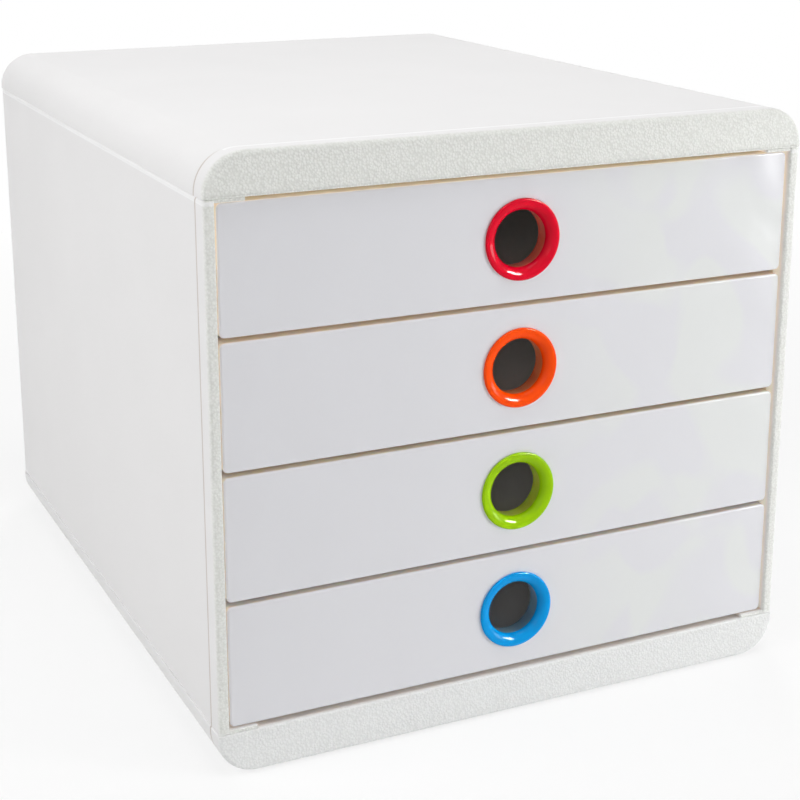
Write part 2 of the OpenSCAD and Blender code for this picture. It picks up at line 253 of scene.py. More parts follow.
# The low band is painted lighter and more neutral than the top band: painted light from the floor below it.
on_low_band = add(tree, "ShaderNodeMath", {0: axes["Z"], 1: low_seam}, operation="LESS_THAN").outputs[0]
# The grain's valleys are painted darker and its crests lighter: painted shade and light that make its relief
# show.
valley_shade = add(tree, "ShaderNodeMix", {
    "Factor": on_low_band, "A": linear("#E9EAE5"), "B": linear("#EFF0EF")}, data_type="RGBA")
crest_light = add(tree, "ShaderNodeMix", {
    "Factor": on_low_band, "A": linear("#F8F9F5"), "B": linear("#F9FAF9")}, data_type="RGBA")
pebbled = add(tree, "ShaderNodeMix", {
    "Factor": raised, "A": valley_shade.outputs["Result"], "B": crest_light.outputs["Result"]}, data_type="RGBA")
grain_shade_colour = add(tree, "ShaderNodeMix", {
    "Factor": in_band, "A": satin_white.outputs["Result"], "B": pebbled.outputs["Result"]}, data_type="RGBA")

# The groove gets painted shade where it runs down the sides. The side panels' edges along both seams and the
# band's edge in front of the groove on top get painted highlights, lines a shade lighter.
groove_middle = front_y + groove_inset + groove_w / 2
groove_shade_start, groove_shade_full = half_w - 12 * mm, half_w - 4 * mm
side_from = half_w - 5 * mm
top_from = shell_high.z - 1 * mm
in_groove = add(tree, "ShaderNodeMath", {
    0: axes["Y"], 1: groove_middle, 2: groove_w / 2}, operation="COMPARE")
beside = add(tree, "ShaderNodeMapRange", {
    "Value": half_x, "From Min": groove_shade_start, "From Max": groove_shade_full, "To Max": 0.7})
shaded = add(tree, "ShaderNodeMath", {
    0: in_groove.outputs[0], 1: beside.outputs["Result"]}, operation="MULTIPLY")
on_side = add(tree, "ShaderNodeMath", {0: half_x, 1: side_from}, operation="GREATER_THAN").outputs[0]
on_top = add(tree, "ShaderNodeMath", {0: axes["Z"], 1: top_from}, operation="GREATER_THAN").outputs[0]
painted_highlight = 0.0
# each line of painted highlight: its axis, middle, reach, where it lies and how strong it is
for axis, middle, reach, where, strength in ((axes["Z"], high_seam - 1.6 * mm, 0.8 * mm, on_side, 0.7),
                                             (axes["Z"], low_seam + 0.2 * mm, 0.7 * mm, on_side, 0.25),
                                             (axes["Y"], front_y + 8.2 * mm, 1.0 * mm, on_top, 0.75)):
    line = add(tree, "ShaderNodeMath", {0: axis, 1: middle, 2: reach}, operation="COMPARE").outputs[0]
    for share in (where, strength):
        line = add(tree, "ShaderNodeMath", {0: line, 1: share}, operation="MULTIPLY").outputs[0]
    painted_highlight = add(tree, "ShaderNodeMath", {0: painted_highlight, 1: line}, operation="MAXIMUM").outputs[0]
edged = add(tree, "ShaderNodeMix", {
    "Factor": painted_highlight, "A": grain_shade_colour.outputs["Result"], "B": linear("#FEFEFE")}, data_type="RGBA")
grooved = add(tree, "ShaderNodeMix", {
    "Factor": shaded.outputs[0], "A": edged.outputs["Result"], "B": linear("#C8BEB6")}, data_type="RGBA")

# Walls inside the gaps are painted cream and given a painted glow near the front, standing in for light that
# passes through the plastic, and there they scatter light inside. The bottom lip and the tabs beside it get
# less of the glow.
cream_start, cream_full = front_y + 1.5 * mm, front_y + 4.5 * mm
post_face_w = 4.9 * mm
margin = 0.1 * mm
lit_end = front_y + 8 * mm
lit_low = low_seam + 2 * mm
lip_share = 0.3
wall_glow = 0.26
cream = add(tree, "ShaderNodeMapRange", {
    "Value": axes["Y"], "From Min": cream_start, "From Max": cream_full}).outputs["Result"]
for lower, higher in ((half_x, half_w - post_face_w), (low_seam - margin, axes["Z"]),
                      (axes["Z"], high_seam + margin), (axes["Y"], back_y - lip_depth)):
    within = add(tree, "ShaderNodeMath", {0: lower, 1: higher}, operation="LESS_THAN")
    cream = add(tree, "ShaderNodeMath", {0: cream, 1: within.outputs[0]}, operation="MULTIPLY").outputs[0]
near_front = add(tree, "ShaderNodeMath", {0: axes["Y"], 1: lit_end}, operation="LESS_THAN")
above_lip = add(tree, "ShaderNodeMapRange", {
    "Value": axes["Z"], "From Min": lit_low - margin, "From Max": lit_low + margin, "To Min": lip_share})
painted_glow = cream
for share in (near_front.outputs[0], above_lip.outputs["Result"], wall_glow):
    painted_glow = add(tree, "ShaderNodeMath", {0: painted_glow, 1: share}, operation="MULTIPLY").outputs[0]
tinted = add(tree, "ShaderNodeMix", {
    "Factor": cream, "A": grooved.outputs["Result"], "B": linear("#F8E8D4")}, data_type="RGBA")
shader = tree.nodes["Principled BSDF"]
shader.inputs["Roughness"].default_value = 0.6
shader.inputs["IOR"].default_value = 1.5
shader.inputs["Specular IOR Level"].default_value = 0.15
shader.inputs["Subsurface Radius"].default_value = (1.0, 0.85, 0.7)
shader.inputs["Subsurface Scale"].default_value = 14 * mm
# the painted glow's colour, cool so that it offsets the warm scatter
shader.inputs["Emission Color"].default_value = linear("#E4E8EE")
tree.links.new(tinted.outputs["Result"], shader.inputs["Base Color"])
tree.links.new(cream, shader.inputs["Subsurface Weight"])
tree.links.new(painted_glow, shader.inputs["Emission Strength"])
tree.links.new(skin.outputs["Normal"], shader.inputs["Normal"])
casing_plastic.cycles.emission_sampling = "NONE"

row = row_tree()


def shell(name, seam, height, up):
    """A shell with its seam at a height and its skin above it, or below it where up is -1."""
    def ring(y, inset, foot):
        outline = rounded(-half_w + inset, foot, half_w - inset, height - inset,
                          [seam_edge_r, edge_r - inset, edge_r - inset, seam_edge_r], steps=12)
        return [(x, y, seam + up * z) for x, z in outline]

    ends = edge_depths(face_r)
    groove = front_y + groove_inset
    rings = [ring(front_y + d, cut_in(face_r, d), cut_in(shell_rim_r, d)) for d in ends]
    rings += [ring(groove, 0, 0), ring(groove + skim, groove_depth, 0),
              ring(groove + groove_w - groove_slope, groove_depth, 0), ring(groove + groove_w, 0, 0)]
    rings += [ring(back_y - d, cut_in(face_r, d), cut_in(shell_rim_r, d)) for d in reversed(ends)]
    piece = put(name, loft(rings))
    hollow = [ring(y, casing_wall, -overshoot) for y in (front_y + casing_wall, back_y - casing_wall)]
    combine(piece, "DIFFERENCE", loft(hollow))

    def slab(x0, y0, z0, x1, y1, z1):
        z0, z1 = sorted((seam + up * z0, seam + up * z1))
        return block((x0, y0, z0), (x1, y1, z1))

    lip_x = half_w - casing_wall / 2
    lip_y = casing_wall / 2
    combine(piece, "UNION", slab(-lip_x, front_y + lip_y, skim, lip_x, front_y + lip_depth, lip_t))
    combine(piece, "UNION", slab(-lip_x, back_y - lip_depth, skim, lip_x, back_y - lip_y, lip_t))
    rib_low, rib_high = height - casing_wall - rib_h, height - casing_wall + bury
    step = 2 * rib_reach_x / (ribs_along + 1)
    x = -rib_reach_x + step
    y0, y1 = front_y + casing_wall - bury, back_y - casing_wall + bury
    along = put("tool", slab(x - rib_t / 2, y0, rib_low, x + rib_t / 2, y1, rib_high))
    combine(piece, "UNION", grow(along, row, Count=ribs_along, Step=(step, 0, 0), Material=casing_plastic))
    step = (back_y - front_y) / (ribs_across + 1)
    y = front_y + step
    across = put("tool", slab(-rib_reach_x, y - rib_t / 2, rib_low - skim,
                              rib_reach_x, y + rib_t / 2, rib_high))
    combine(piece, "UNION", grow(across, row, Count=ribs_across, Step=(0, step, 0), Material=casing_plastic))
    return dress(piece, casing_plastic)


top_height = shell_high.z - high_seam
bottom_height = low_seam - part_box("bottom_shell")[0].z
top_shell = shell("top_shell_moulding", high_seam, top_height, 1)
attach(top_shell, "casing")
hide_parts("top_shell")
bottom_shell = shell("bottom_shell_moulding", low_seam, bottom_height, -1)
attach(bottom_shell, "casing")
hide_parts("bottom_shell")

# ---- Side panels ----
# Each side of the casing is one moulding in the same polystyrene: a satin skin between a front and a rear
# post, with turned-in flanges, tongues that plug into the shells, and a ladder of runner channels inside.

skin_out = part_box("right_side_panel")[1].x
skin_in = skin_out - casing_wall
post_in = half_w - 5 * mm
post_depth = 12 * mm
post_edge_r = 1.0 * mm
post_top_r = 1.2 * mm
high_seam_r = 2.0 * mm
low_seam_r = 0.4 * mm
flange_w = 12.5 * mm
flange_t = 1.5 * mm
flange_setback = 0.6 * mm
flange_edge = 0.3 * mm
tongue_in, tongue_out = 132.1 * mm, 134.1 * mm
tongue_h = 7 * mm
end_gap = 1 * mm
back_t = 2.5 * mm
back_panel_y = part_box("back_panel")[1].y - back_t
back_slot = 2 * mm
slot_play = 0.2 * mm
front_low, front_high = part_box("drawer_front_1")
front_h = front_high.z - front_low.z
drawer_pitch = front_low.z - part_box("drawer_front_2")[0].z
lowest_front_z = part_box("drawer_front_4")[0].z
drawer_count = 4
rim_low, rim_high = 43 * mm, 45.5 * mm
runner_play = 0.3 * mm
runner_t = 2 * mm
runner_in = 131.7 * mm
runner_edge = 0.4 * mm
stop_in = 133.5 * mm
runner_front = front_y + 15 * mm
stop_front = front_y + 40 * mm
stop_len = 6 * mm


def side_ring(rise, radius):
    """Outline of the right-hand panel in plan, at a rise from a seam where its edge has a radius."""
    front = rounded(post_in, front_y, skin_out, back_y, [face_r, face_r, post_edge_r, post_edge_r])
    corner = len(front) // 4
    groove = front_y + groove_inset
    outer = [(skin_out, groove), (skin_out - groove_depth, groove + skim),
             (skin_out - groove_depth, groove + groove_w - groove_slope), (skin_out, groove + groove_w)]
    slot_y0, slot_y1 = back_panel_y - slot_play, back_panel_y + back_t + slot_play
    inner = [(post_in, slot_y1), (post_in + back_slot, slot_y1), (post_in + back_slot, slot_y0),
             (post_in, slot_y0), (post_in, back_y - post_depth), (skin_in, back_y - post_depth),
             (skin_in, front_y + post_depth), (post_in, front_y + post_depth)]
    outline = front[:corner] + outer + front[corner:3 * corner] + inner + front[3 * corner:]
    most_x = skin_out - cut_in(radius, rise)
    least_y = front_y + cut_in(post_top_r, rise)
    return [(min(x, most_x), max(y, least_y)) for x, y in outline]


rings = [[(x, y, low_seam + rise) for x, y in side_ring(rise, low_seam_r)]
         for rise in edge_depths(low_seam_r)]
rings += [[(x, y, high_seam - rise) for x, y in side_ring(rise, high_seam_r)]
          for rise in reversed(edge_depths(high_seam_r))]
right_panel = put("right_panel_moulding", loft(rings))
for seam, up in ((high_seam, 1), (low_seam, -1)):
    z0, z1 = sorted((seam - up * skim, seam - up * flange_t))
    combine(right_panel, "UNION", block(
        (post_in - flange_w, front_y + flange_setback, z0), (skin_in + bury, back_panel_y - end_gap, z1),
        flange_edge))
    z0, z1 = sorted((seam - up * flange_t / 2, seam + up * tongue_h))
    combine(right_panel, "UNION", block(
        (tongue_in, front_y + lip_depth + end_gap, z0), (tongue_out, back_y - lip_depth - end_gap, z1),
        flange_edge))

channel_z = lowest_front_z + rim_low - runner_play
channel_top = channel_z + rim_high - rim_low + 2 * runner_play
channel_back = back_y - post_depth + bury
channel = put("tool", block((runner_in, runner_front, channel_z - runner_t),
                            (skin_in + bury, channel_back, channel_z), runner_edge))
combine(channel, "UNION", block((runner_in, runner_front, channel_top),
                                (skin_in + bury, channel_back, channel_top + runner_t), runner_edge))
combine(channel, "UNION", block((stop_in, stop_front, channel_z - bury),
                                (skin_in + bury - skim, stop_front + stop_len, channel_top + bury)))
combine(right_panel, "UNION", grow(
    channel, row, Count=drawer_count, Step=(0, 0, drawer_pitch), Material=casing_plastic))

left_panel = right_panel.copy()
left_panel.data = right_panel.data.copy()
left_panel.name = "left_panel_moulding"
bpy.context.scene.collection.objects.link(left_panel)
left_panel.data.transform(Matrix.Scale(-1, 4, (1, 0, 0)))
left_panel.data.flip_normals()
for panel, node in ((right_panel, "right_side_panel"), (left_panel, "left_side_panel")):
    dress(panel, casing_plastic)
    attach(panel, "casing")
    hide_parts(node)

# ---- Back panel ----
# A flat moulded sheet with softened edges, slid into grooves in the rear posts before the top shell snaps
# on. Three low ribs across its inner face stiffen it.

back_low, back_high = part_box("back_panel")
back_edge = 0.5 * mm
back_rib_w = 243 * mm
drawer_gap = drawer_pitch - front_h
back_rib_z = lowest_front_z + drawer_pitch - (drawer_gap + rib_t) / 2
back_sheet = put("back_panel_sheet", block((back_low.x, back_panel_y, back_low.z), back_high, back_edge))
back_rib = put("tool", block((-back_rib_w / 2, back_low.y, back_rib_z),
                             (back_rib_w / 2, back_panel_y + bury, back_rib_z + rib_t), flange_edge))
combine(back_sheet, "UNION", grow(
    back_rib, row, Count=drawer_count - 1, Step=(0, 0, drawer_pitch), Material=casing_plastic))
dress(back_sheet, casing_plastic)
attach(back_sheet, "casing")
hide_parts("back_panel")

# ---- Feet ----
# Four soft rubber pads pressed into shallow recesses of the bottom shell. Each is turned in outline, with a
# rounded tread edge and two shallow rings that keep the cabinet from sliding.

foot_r = 8 * mm
foot_t = 2.3 * mm
tread_r = 0.5 * mm
tread_rings = (2.6 * mm, 5.0 * mm)
tread_w = 0.7 * mm
tread_depth = 0.35 * mm
tread_slope = 0.15 * mm
# points closer together than this are one
same_point = 1e-7
# the angles of a quarter round
quarter = [math.radians(15 * i) for i in range(7)]


def turned_tree():
    """Geometry Nodes: a profile swept round a circle, as on a lathe, then turned and put in place."""
    tree = bpy.data.node_groups.new("turned", "GeometryNodeTree")
    for name, kind in (("Profile", "Geometry"), ("Radius", "Float"), ("Segments", "Int"), ("Tilt", "Vector"),
                       ("Place", "Vector"), ("Material", "Material")):
        tree.interface.new_socket(name, in_out="INPUT", socket_type="NodeSocket" + kind)
    tree.interface.new_socket("Turned", in_out="OUTPUT", socket_type="NodeSocketGeometry")
    given = add(tree, "NodeGroupInput").outputs
    profile = add(tree, "GeometryNodeMeshToCurve", {"Mesh": given["Profile"]})
    circle = add(tree, "GeometryNodeCurvePrimitiveCircle",
                 {"Resolution": given["Segments"], "Radius": given["Radius"]})
    swept = add(tree, "GeometryNodeCurveToMesh",
                {"Curve": circle.outputs["Curve"], "Profile Curve": profile.outputs["Curve"]})
    placed = add(tree, "GeometryNodeTransform", {
        "Geometry": swept.outputs["Mesh"], "Translation": given["Place"], "Rotation": given["Tilt"]})
    real = add(tree, "GeometryNodeRealizeInstances", {"Geometry": placed.outputs["Geometry"]})
    dressed = add(tree, "GeometryNodeSetMaterial",
                  {"Geometry": real.outputs["Geometry"], "Material": given["Material"]})
    add(tree, "NodeGroupOutput", {"Turned": dressed.outputs["Geometry"]})
    return tree


def turn(name, profile, material, place, tilt=0.0, closed=True):
    """Turns a profile of radius and depth points. Depth runs down, or back where the piece is tilted, and a
    profile that isn't closed starts and ends on the axis."""
    middle = sum(r for r, depth in profile) / len(profile)
    outline = bpy.data.meshes.new(name)
    last = len(profile) - 1
    points = [(r - middle, depth, 0) for r, depth in profile]
    edges = [(i, i + 1) for i in range(last)] + ([(last, 0)] if closed else [])
    outline.from_pydata(points, edges, [])
    piece = bpy.data.objects.new(name, outline)
    bpy.context.scene.collection.objects.link(piece)
    grow(piece, turned, Radius=middle, Segments=round_steps, Tilt=(math.radians(tilt), 0.0, 0.0),
         Place=place, Material=material)
    solid = bmesh.new()
    solid.from_mesh(piece.data)
    bmesh.ops.remove_doubles(solid, verts=solid.verts, dist=same_point)
    bmesh.ops.recalc_face_normals(solid, faces=solid.faces)
    solid.to_mesh(piece.data)
    solid.free()
    return dress(piece, material)


turned = turned_tree()

# Dark grey thermoplastic rubber, moulded matt. It takes the light evenly, with no highlight.
dust_size = 3 * mm
dust_height = 0.1 * mm
rubber = bpy.data.materials.new("matt_rubber")
rubber.use_nodes = True
tree = rubber.node_tree
place = add(tree, "ShaderNodeTexCoord").outputs["Object"]
dust = add(tree, "ShaderNodeTexNoise", {"Vector": place, "Scale": 1 / dust_size, "Detail": 3.0})
shade = add(tree, "ShaderNodeValToRGB", {"Fac": dust.outputs["Fac"]})
shade.color_ramp.elements[0].color = linear("#404042")
shade.color_ramp.elements[1].color = linear("#535355")
grain = add(tree, "ShaderNodeBump", {
    "Strength": 0.3, "Distance": dust_height, "Height": dust.outputs["Fac"]})
shader = tree.nodes["Principled BSDF"]
shader.inputs["Roughness"].default_value = 0.85
shader.inputs["IOR"].default_value = 1.52
tree.links.new(shade.outputs["Color"], shader.inputs["Base Color"])
tree.links.new(grain.outputs["Normal"], shader.inputs["Normal"])

tread = [(0, 0)]
for ring_r in tread_rings:
    tread += [(ring_r, 0), (ring_r + tread_slope, -tread_depth),
              (ring_r + tread_w - tread_slope, -tread_depth), (ring_r + tread_w, 0)]
tread += [(foot_r - tread_r * (1 - math.sin(a)), -tread_r * (1 - math.cos(a))) for a in quarter]
tread += [(foot_r, -foot_t), (0, -foot_t)]
for node in ("foot_front_left", "foot_front_right", "foot_rear_left", "foot_rear_right"):
    low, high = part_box(node)
    middle = (low + high) / 2
    foot = turn("rubber_" + node, tread, rubber, (middle.x, middle.y, 0), closed=False)
    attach(foot, "casing")
    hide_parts(node)

# ---- Drawer trays ----
# Open trays moulded in smooth white polystyrene. Their rims slide in the side panels' channels, a lug at
# each rear end meets the stop, and a taller front wall carries the drawer front on four staked pegs.

tray_low, tray_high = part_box("drawer_tray_1")
hole_z = front_h / 2
tray_half_w = 130.9 * mm
tray_y = tray_low.y
tray_wall = 2 * mm
tray_inside_y = tray_y + tray_wall
tray_rear_y = tray_high.y
tray_lift = 3.5 * mm
tray_h = 42 * mm
tray_corner_r = 5 * mm
tray_front_corner_r = 0.4 * mm
least_corner_r = 0.5 * mm
least_front_corner_r = 0.1 * mm
tray_base_r = 1 * mm
tray_top_r = 0.6 * mm
tray_floor_r = 2.5 * mm
front_wall_inset = 2 * mm
rim_out = 133.2 * mm
rim_edge = 0.4 * mm
lug_out = 135.2 * mm
tube_r = 15.7 * mm
fit = 0.2 * mm
peg_x, peg_rise = 102.9 * mm, 13.4 * mm
peg_r, peg_head_r, peg_head_t = 2.2 * mm, 3.5 * mm, 0.8 * mm
peg_steps, peg_head_steps = 32, 48

# Smooth polystyrene from a polished mould, a little glossier than the casing. Long soft waves, where the
# plastic shrank unevenly, bend the highlights, and a faint painted glow stands in for the light that comes
# through its walls.
shrink_size = 30 * mm
shrink_height = 0.4 * mm
tray_plastic = bpy.data.materials.new("smooth_white_polystyrene")
tray_plastic.use_nodes = True
tree = tray_plastic.node_tree
place = add(tree, "ShaderNodeTexCoord").outputs["Object"]
shrink = add(tree, "ShaderNodeTexNoise", {"Vector": place, "Scale": 1 / shrink_size, "Detail": 2.0})
sheen = add(tree, "ShaderNodeMapRange", {"Value": shrink.outputs["Fac"], "To Min": 0.3, "To Max": 0.42})
shade = add(tree, "ShaderNodeValToRGB", {"Fac": shrink.outputs["Fac"]})
shade.color_ramp.elements[0].color = linear("#EFEEEC")
shade.color_ramp.elements[1].color = linear("#F2F1F0")
ripple = add(tree, "ShaderNodeBump", {
    "Strength": 0.25, "Distance": shrink_height, "Height": shrink.outputs["Fac"]})
shader = tree.nodes["Principled BSDF"]
shader.inputs["IOR"].default_value = 1.5
shader.inputs["Emission Color"].default_value = linear("#E0DCD8")
shader.inputs["Emission Strength"].default_value = 0.007
tree.links.new(shade.outputs["Color"], shader.inputs["Base Color"])
tree.links.new(sheen.outputs["Result"], shader.inputs["Roughness"])
tree.links.new(ripple.outputs["Normal"], shader.inputs["Normal"])


def tray_ring(inset, z):
    """Outline of a tray in plan, drawn in by an inset."""
    front_r = max(tray_front_corner_r - inset, least_front_corner_r)
    rear_r = max(tray_corner_r - inset, least_corner_r)
    outline = rounded(-tray_half_w + inset, tray_y + inset, tray_half_w - inset, tray_rear_y - inset,
                      [front_r, rear_r, rear_r, front_r])
    return [(x, y, z) for x, y in outline]


brim = tray_lift + tray_h - tray_top_r
floor_top = tray_lift + tray_wall
rings = [tray_ring(tray_base_r * (1 - math.sin(a)), tray_lift + tray_base_r * (1 - math.cos(a)))
         for a in quarter]
rings += [tray_ring(tray_top_r * (1 - math.cos(a)), brim + tray_top_r * math.sin(a)) for a in quarter]
rings += [tray_ring(tray_wall - tray_top_r * (1 - math.sin(a)), brim + tray_top_r * math.cos(a))
          for a in quarter]
rings += [tray_ring(tray_wall + tray_floor_r * (1 - math.cos(a)),
                    floor_top + tray_floor_r * (1 - math.sin(a))) for a in quarter]
tray = put("tray", loft(rings))
combine(tray, "UNION", block(
    (-tray_half_w + skim, tray_y + skim, front_wall_inset),
    (tray_half_w - skim, tray_inside_y + skim, front_h - front_wall_inset), rim_edge))
rim_rear = tray_rear_y - tray_corner_r
lug_front = rim_rear - stop_len
for side in (-1, 1):
    x0, x1 = sorted((side * (tray_half_w - tray_wall / 2), side * rim_out))
    combine(tray, "UNION", block((x0, runner_front, rim_low), (x1, rim_rear, rim_high - skim), rim_edge))
    x0, x1 = sorted((side * (tray_half_w - tray_wall / 2 - skim), side * lug_out))
    combine(tray, "UNION", block(
        (x0, lug_front, rim_low + skim), (x1, rim_rear - skim, rim_high - 2 * skim), rim_edge))
combine(tray, "DIFFERENCE", bar(0, hole_z, tray_y - overshoot, tray_inside_y + overshoot, tube_r + fit))
for x in (-peg_x, peg_x):
    for z in (hole_z - peg_rise, hole_z + peg_rise):
        combine(tray, "DIFFERENCE", bar(
            x, z, tray_y - overshoot, tray_inside_y + overshoot, peg_r + fit, peg_steps))


def copy_for_drawer(pattern, name, k):
    """A copy of a drawer's piece at drawer k, with its place in its mesh."""
    copy = pattern.copy()
    copy.data = pattern.data.copy()
    copy.name = f"{name}_{k}"
    copy.data.transform(Matrix.Translation((0, 0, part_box(f"drawer_front_{k}")[0].z)))
    bpy.context.scene.collection.objects.link(copy)
    return copy


for k in range(1, drawer_count + 1):
    piece = dress(copy_for_drawer(tray, "tray_moulding", k), tray_plastic)
    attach(piece, f"drawer_{k}")
    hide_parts(f"drawer_tray_{k}")
bpy.data.objects.remove(tray)

# ---- Drawer fronts ----
# Glossy covers in white polystyrene, one on each tray. The face turns back into a rim all round, and a tube
# behind it lines the finger hole and passes through the tray's front wall.

front_half_w = front_high.x
face_y = front_low.y
front_t = 3 * mm
front_depth = 9.4 * mm
front_rim_t = 1.8 * mm
front_corner_r = 2.3 * mm
front_edge_r = 1.0 * mm
rear_edge_r = 0.3 * mm
recess_edge = 0.6 * mm
hole_r = 12.3 * mm
seat_r = 14.5 * mm
seat_depth = 2.3 * mm
tube_end_r = 1.5 * mm

# High-gloss polystyrene, mirror-smooth as it left the mould, with a faintly cool white. Broad sink waves,
# which are alike on all four, bend what it reflects, and painted reflection lies in patches, a shade lighter
# and greener, over its right-hand half.
wave_size, wave_height = 45 * mm, 1.3 * mm
peel_size, peel_height = 6 * mm, 0.1 * mm
reflection_patch_size = 45 * mm
reflection_start, reflection_full = 10 * mm, 60 * mm
front_plastic = bpy.data.materials.new("glossy_white_polystyrene")
front_plastic.use_nodes = True
tree = front_plastic.node_tree
place = add(tree, "ShaderNodeTexCoord").outputs["Object"]
axes = add(tree, "ShaderNodeSeparateXYZ", {"Vector": place}).outputs
above_lowest = add(tree, "ShaderNodeMath", {0: axes["Z"], 1: lowest_front_z}, operation="SUBTRACT")
height = add(tree, "ShaderNodeMath", {
    0: above_lowest.outputs[0], 1: drawer_pitch}, operation="FLOORED_MODULO").outputs[0]
on_drawer = add(tree, "ShaderNodeCombineXYZ", {"X": axes["X"], "Y": axes["Y"], "Z": height})
waves = add(tree, "ShaderNodeTexNoise", {
    "Vector": on_drawer.outputs[0], "Scale": 1 / wave_size, "Detail": 1.5, "Roughness": 0.4,
    "Distortion": 0.8})
fine = add(tree, "ShaderNodeTexNoise", {"Vector": place, "Scale": 1 / peel_size, "Detail": 2.0})
broad = add(tree, "ShaderNodeBump", {
    "Strength": 1.0, "Distance": wave_height, "Height": waves.outputs["Fac"]})
peel = add(tree, "ShaderNodeBump", {
    "Strength": 0.05, "Distance": peel_height, "Height": fine.outputs["Fac"],
    "Normal": broad.outputs["Normal"]})
reflection_noise = add(tree, "ShaderNodeTexNoise", {
    "Vector": place, "Scale": 1 / reflection_patch_size, "Detail": 1.5, "Roughness": 0.4, "Distortion": 0.8})
reflection_patchy = add(tree, "ShaderNodeMapRange", {
    "Value": reflection_noise.outputs["Fac"], "From Min": 0.46, "From Max": 0.54})
right_hand = add(tree, "ShaderNodeMapRange", {
    "Value": axes["X"], "From Min": reflection_start, "From Max": reflection_full})
painted_reflection = add(tree, "ShaderNodeMath", {
    0: reflection_patchy.outputs["Result"], 1: right_hand.outputs["Result"]}, operation="MULTIPLY")
face_white = add(tree, "ShaderNodeMix", {
    "Factor": painted_reflection.outputs[0], "A": linear("#E8E8EC"), "B": linear("#EAECEB")}, data_type="RGBA")

# Behind the face it is painted cream and scatters light inside, as the casing's inner walls do. The tube is
# painted with the colour its ring throws onto it, and the rim gets a painted glow that is warm and strongest
# at the topmost gap.
rim_start, rim_full = face_y + 0.4 * mm, face_y + 1.2 * mm
tube_reach = tube_r + 1 * mm
tube_height = front_h / 2 - 5 * mm
rim_glow = 0.2
stack_top = lowest_front_z + drawer_count * drawer_pitch
behind_face = add(tree, "ShaderNodeMapRange", {
    "Value": axes["Y"], "From Min": rim_start, "From Max": rim_full}).outputs["Result"]
half_x = add(tree, "ShaderNodeMath", {0: axes["X"]}, operation="ABSOLUTE").outputs[0]
near_hole = add(tree, "ShaderNodeMath", {0: half_x, 1: tube_reach}, operation="LESS_THAN")
inside = add(tree, "ShaderNodeMath", {0: height, 1: hole_z, 2: tube_height}, operation="COMPARE")
in_tube = add(tree, "ShaderNodeMath", {
    0: near_hole.outputs[0], 1: inside.outputs[0]}, operation="MULTIPLY").outputs[0]
up_stack = add(tree, "ShaderNodeMapRange", {
    "Value": axes["Z"], "From Min": lowest_front_z, "From Max": stack_top})
# colours from the lowest drawer up: the tubes' painted ring light changes between drawers, and the rims'
# painted glow at half their height
by_height = []
for colours, shift in ((("#8EA8B6", "#E0E661", "#FF9365", "#FF846F"), 0),
                       (("#3D3F5C", "#5E4F42", "#907A68", "#D3BA88"), 0.5)):
    steps = add(tree, "ShaderNodeValToRGB", {"Fac": up_stack.outputs["Result"]})
    steps.color_ramp.interpolation = "CONSTANT"
    stops = steps.color_ramp.elements
    stops.remove(stops[1])
    stops[0].color = linear(colours[0])
    for k in range(1, drawer_count):
        stops.new((k + shift) / drawer_count).color = linear(colours[k])
    by_height.append(steps.outputs["Color"])
tube_ring_bounce, rim_glow_colour = by_height
edge_tint = add(tree, "ShaderNodeMix", {
    "Factor": in_tube, "A": linear("#F8E8D8"), "B": tube_ring_bounce}, data_type="RGBA")
tinted = add(tree, "ShaderNodeMix", {
    "Factor": behind_face, "A": face_white.outputs["Result"], "B": edge_tint.outputs["Result"]},
             data_type="RGBA")
on_rim = add(tree, "ShaderNodeMath", {0: behind_face, 1: in_tube}, operation="GREATER_THAN")
painted_glow = add(tree, "ShaderNodeMath", {0: on_rim.outputs[0], 1: rim_glow}, operation="MULTIPLY")
shader = tree.nodes["Principled BSDF"]
shader.inputs["Roughness"].default_value = 0.16
shader.inputs["IOR"].default_value = 1.5
shader.inputs["Subsurface Radius"].default_value = (1.0, 0.7, 0.4)
shader.inputs["Subsurface Scale"].default_value = 10 * mm
tree.links.new(tinted.outputs["Result"], shader.inputs["Base Color"])
tree.links.new(behind_face, shader.inputs["Subsurface Weight"])
tree.links.new(rim_glow_colour, shader.inputs["Emission Color"])
tree.links.new(painted_glow.outputs[0], shader.inputs["Emission Strength"])
tree.links.new(peel.outputs["Normal"], shader.inputs["Normal"])


def front_ring(inset, y):
    """Outline of a drawer front, drawn in by an inset."""
    radius = front_corner_r - inset
    outline = rounded(-front_half_w + inset, inset, front_half_w - inset, front_h - inset, [radius] * 4)
    return [(x, y, z) for x, z in outline]


rear_y = face_y + front_depth
rings = [front_ring(cut_in(front_edge_r, d), face_y + d) for d in edge_depths(front_edge_r)]
rings += [front_ring(cut_in(rear_edge_r, d), rear_y - d) for d in reversed(edge_depths(rear_edge_r))]
cover = put("cover", loft(rings))
combine(cover, "DIFFERENCE", block(
    (-front_half_w + front_rim_t, face_y + front_t, front_rim_t),
    (front_half_w - front_rim_t, rear_y + overshoot, front_h - front_rim_t), recess_edge))
peg_y = face_y + front_t - bury
peg_end = tray_inside_y + peg_head_t
combine(cover, "UNION", bar(0, hole_z, peg_y, tray_inside_y, tube_r))
for x in (-peg_x, peg_x):
    for z in (hole_z - peg_rise, hole_z + peg_rise):
        combine(cover, "UNION", bar(x, z, peg_y, peg_end, peg_r, peg_steps))
        combine(cover, "UNION", bar(
            x, z, tray_inside_y + skim, peg_end - skim, peg_head_r, peg_head_steps))
throat = [(face_y - overshoot, hole_r), (tray_inside_y - tube_end_r, hole_r)]
throat += [(tray_inside_y - tube_end_r * (1 - math.sin(a)), hole_r + tube_end_r * (1 - math.cos(a)))
           for a in quarter[1:]]
throat += [(tray_inside_y + overshoot, hole_r + tube_end_r + overshoot)]
circle = [math.tau * i / round_steps for i in range(round_steps)]
